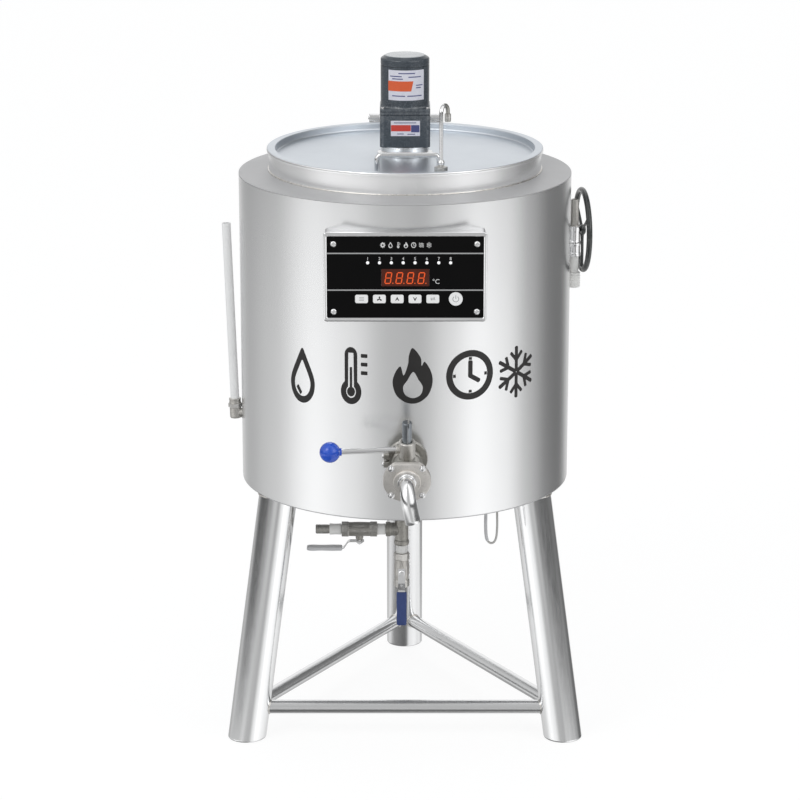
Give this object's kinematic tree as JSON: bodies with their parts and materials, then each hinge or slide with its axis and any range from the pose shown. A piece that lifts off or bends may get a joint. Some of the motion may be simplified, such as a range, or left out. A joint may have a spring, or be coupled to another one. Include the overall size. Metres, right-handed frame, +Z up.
{
  "type": "milk pasteurizer",
  "caption": "Jacketed round steel tank on splayed tube legs, with a hinged lid that carries a geared stirrer, a control panel, an outlet ball valve with spout and drain valves below.",
  "frame": {"origin": "on the floor, at the middle of the machine's outline seen from above", "axes": "+Z up; -Y is the front, with the control panel and the outlet valve; +X is the right-hand side seen from the front, with the handwheel"},
  "size_m": [0.6706, 0.82, 1.2379],
  "materials": {
    "brushed_steel": "satin",
    "lid_steel": "satin",
    "polished_steel": "polished",
    "cast_steel": "matte",
    "dark_paint": "satin",
    "black_panel": "satin",
    "display_glass": "gloss",
    "key_plastic": "satin",
    "blue_plastic": "gloss",
    "blue_vinyl": "satin",
    "grey_vinyl": "satin",
    "white_tube": "satin",
    "dark_wheel": "satin",
    "mineral_wool": "matte",
    "gasket_rubber": "matte",
    "cable_jacket": "satin"
  },
  "bodies": {
    "machine": {"outer_shell": "brushed_steel", "shoulder_ring": "brushed_steel", "bottom_plate": "brushed_steel", "inner_pot": "lid_steel", "jacket_shell": "brushed_steel", "insulation": "mineral_wool", "heating_element": "polished_steel", "temperature_probe": "polished_steel", "leg_front_left": "brushed_steel", "leg_front_right": "brushed_steel", "leg_rear": "brushed_steel", "tie_bar_front": "brushed_steel", "tie_bar_left": "brushed_steel", "tie_bar_right": "brushed_steel", "control_housing": "brushed_steel", "panel_bezel": "brushed_steel", "face_panel": "black_panel", "display_board": "display_glass", "outlet_pipe": "cast_steel", "outlet_body": "cast_steel", "outlet_flange": "cast_steel", "spout": "polished_steel", "level_elbow": "cast_steel", "level_tube": "white_tube", "inlet_body": "polished_steel", "inlet_nipple": "cast_steel", "drain_tee": "cast_steel", "side_valve_body": "cast_steel", "drain_valve_body": "cast_steel", "sensor_lead": "cable_jacket", "hinge_bracket": "polished_steel", "hinge_pin": "polished_steel"},
    "lid_unit": {"lid": "lid_steel", "lid_gasket": "gasket_rubber", "hinge_leaf": "polished_steel", "lid_handle": "polished_steel", "vent_base": "cast_steel", "vent_tube": "polished_steel", "motor_pedestal": "polished_steel", "gearbox": "dark_paint", "motor": "dark_paint"},
    "stirrer": {"stirrer_shaft": "polished_steel", "stirrer_paddle": "polished_steel"},
    "outlet_handle": {"outlet_ball": "polished_steel", "outlet_lever": "polished_steel", "lever_grip": "blue_plastic"},
    "side_handle": {"side_valve_ball": "polished_steel", "side_valve_lever": "polished_steel", "side_valve_sleeve": "grey_vinyl"},
    "drain_handle": {"drain_valve_ball": "polished_steel", "drain_valve_lever": "polished_steel", "drain_valve_sleeve": "blue_vinyl"},
    "wheel": {"handwheel": "dark_wheel"},
    "key_mode_cap": {"key_mode": "key_plastic"},
    "key_stir_cap": {"key_stir": "key_plastic"},
    "key_up_cap": {"key_up": "key_plastic"},
    "key_down_cap": {"key_down": "key_plastic"},
    "key_shift_cap": {"key_shift": "key_plastic"},
    "key_start_cap": {"key_start": "key_plastic"}
  },
  "joints": [
    {"name": "lid_hinge", "type": "hinge", "parent": "machine", "child": "lid_unit", "pos_m": [0, 0.30118, 1.075], "axis": [-1, 0, 0], "range_deg": [0, 100]},
    {"name": "stirrer_spin", "type": "hinge", "parent": "lid_unit", "child": "stirrer", "pos_m": [0, 0.03918, 1.06], "axis": [0, 0, 1], "continuous": true},
    {"name": "outlet_turn", "type": "hinge", "parent": "machine", "child": "outlet_handle", "pos_m": [0.003, -0.32072, 0.57272], "axis": [0, -0.2588, 0.9659], "range_deg": [0, 85]},
    {"name": "side_valve_turn", "type": "hinge", "parent": "machine", "child": "side_handle", "pos_m": [-0.0833, -0.06082, 0.379], "axis": [0, 0, 1], "range_deg": [0, 90]},
    {"name": "drain_valve_turn", "type": "hinge", "parent": "machine", "child": "drain_handle", "pos_m": [-0.006, -0.06082, 0.3017], "axis": [0, -1, 0], "range_deg": [0, 90]},
    {"name": "wheel_turn", "type": "hinge", "parent": "machine", "child": "wheel", "pos_m": [0.32407, 0.07898, 0.9088], "axis": [0.9925, 0.1219, 0], "range_deg": [0, 720]},
    {"name": "key_mode_press", "type": "slide", "parent": "machine", "child": "key_mode_cap", "axis": [0, 1, 0], "range_m": [0, 0.0006], "stiffness_N_per_m": 400, "springref_m": -0.0005},
    {"name": "key_stir_press", "type": "slide", "parent": "machine", "child": "key_stir_cap", "axis": [0, 1, 0], "range_m": [0, 0.0006], "stiffness_N_per_m": 400, "springref_m": -0.0005},
    {"name": "key_up_press", "type": "slide", "parent": "machine", "child": "key_up_cap", "axis": [0, 1, 0], "range_m": [0, 0.0006], "stiffness_N_per_m": 400, "springref_m": -0.0005},
    {"name": "key_down_press", "type": "slide", "parent": "machine", "child": "key_down_cap", "axis": [0, 1, 0], "range_m": [0, 0.0006], "stiffness_N_per_m": 400, "springref_m": -0.0005},
    {"name": "key_shift_press", "type": "slide", "parent": "machine", "child": "key_shift_cap", "axis": [0, 1, 0], "range_m": [0, 0.0006], "stiffness_N_per_m": 400, "springref_m": -0.0005},
    {"name": "key_start_press", "type": "slide", "parent": "machine", "child": "key_start_cap", "axis": [0, 1, 0], "range_m": [0, 0.0006], "stiffness_N_per_m": 400, "springref_m": -0.0005}
  ]
}
